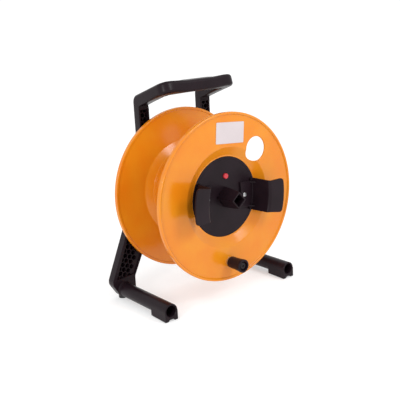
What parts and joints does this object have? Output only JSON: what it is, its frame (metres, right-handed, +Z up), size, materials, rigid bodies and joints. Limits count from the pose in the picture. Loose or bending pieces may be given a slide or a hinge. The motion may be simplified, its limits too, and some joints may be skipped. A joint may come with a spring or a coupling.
{
  "type": "cable drum",
  "caption": "Empty hand-wound cable drum on a one-sided plastic carrying frame with a grip, a crank knob, cable hooks and a drum lock button.",
  "frame": {"origin": "centre of the footprint on the ground, under the toes and the heel pads", "axes": "+Z up, -Y towards the crank side (front), +X to the right seen from the front; the drum turns about an axle along Y"},
  "size_m": [0.313, 0.186, 0.3738],
  "materials": {
    "black_plastic": "satin moulded",
    "orange_plastic": "smooth, semi-gloss",
    "rubber": "matt",
    "nylon": "satin",
    "red_plastic": "gloss",
    "label_film": "satin film",
    "zinc_steel": "zinc plated",
    "black_steel": "blackened"
  },
  "bodies": {
    "frame": {"frame": "black_plastic", "heel_pad_left": "rubber", "heel_pad_right": "rubber", "axle": "zinc_steel", "axle_washer": "zinc_steel", "axle_nut": "zinc_steel", "thrust_washer": "nylon", "keeper_washer": "zinc_steel", "circlip": "zinc_steel", "lock_ring": "zinc_steel", "lock_ring_screw_1": "zinc_steel", "lock_ring_screw_2": "zinc_steel"},
    "drum": {"front_flange": "orange_plastic", "rear_flange": "orange_plastic", "barrel": "orange_plastic", "label": "label_film", "hub_disc": "black_plastic", "front_bush": "nylon", "rear_bush": "nylon", "centre_socket": "black_plastic", "hook_left": "black_plastic", "hook_right": "black_plastic", "hook_screw_left": "zinc_steel", "hook_screw_right": "zinc_steel", "tie_bolt_1": "zinc_steel", "tie_bolt_2": "zinc_steel", "tie_bolt_3": "zinc_steel", "tie_bolt_4": "zinc_steel", "lock_cup": "black_plastic", "lock_spring": "zinc_steel", "crank_spindle": "zinc_steel", "crank_washer": "zinc_steel", "crank_nut": "zinc_steel", "knob_screw": "black_steel"},
    "lock": {"lock_button": "red_plastic", "lock_rod": "zinc_steel"},
    "crank": {"crank_knob": "black_plastic"}
  },
  "joints": [
    {"name": "drum_spin", "type": "hinge", "parent": "frame", "child": "drum", "pos_m": [0, 0.00403, 0.1785], "axis": [0, 1, 0], "continuous": true},
    {"name": "lock_push", "type": "slide", "parent": "drum", "child": "lock", "axis": [0, 1, 0], "range_m": [0, 0.0026], "stiffness_N_per_m": 500, "springref_m": -0.003, "deforming": ["lock_spring"]},
    {"name": "knob_spin", "type": "hinge", "parent": "drum", "child": "crank", "pos_m": [-0.00195, -0.07597, 0.06652], "axis": [0, 1, 0], "continuous": true}
  ]
}
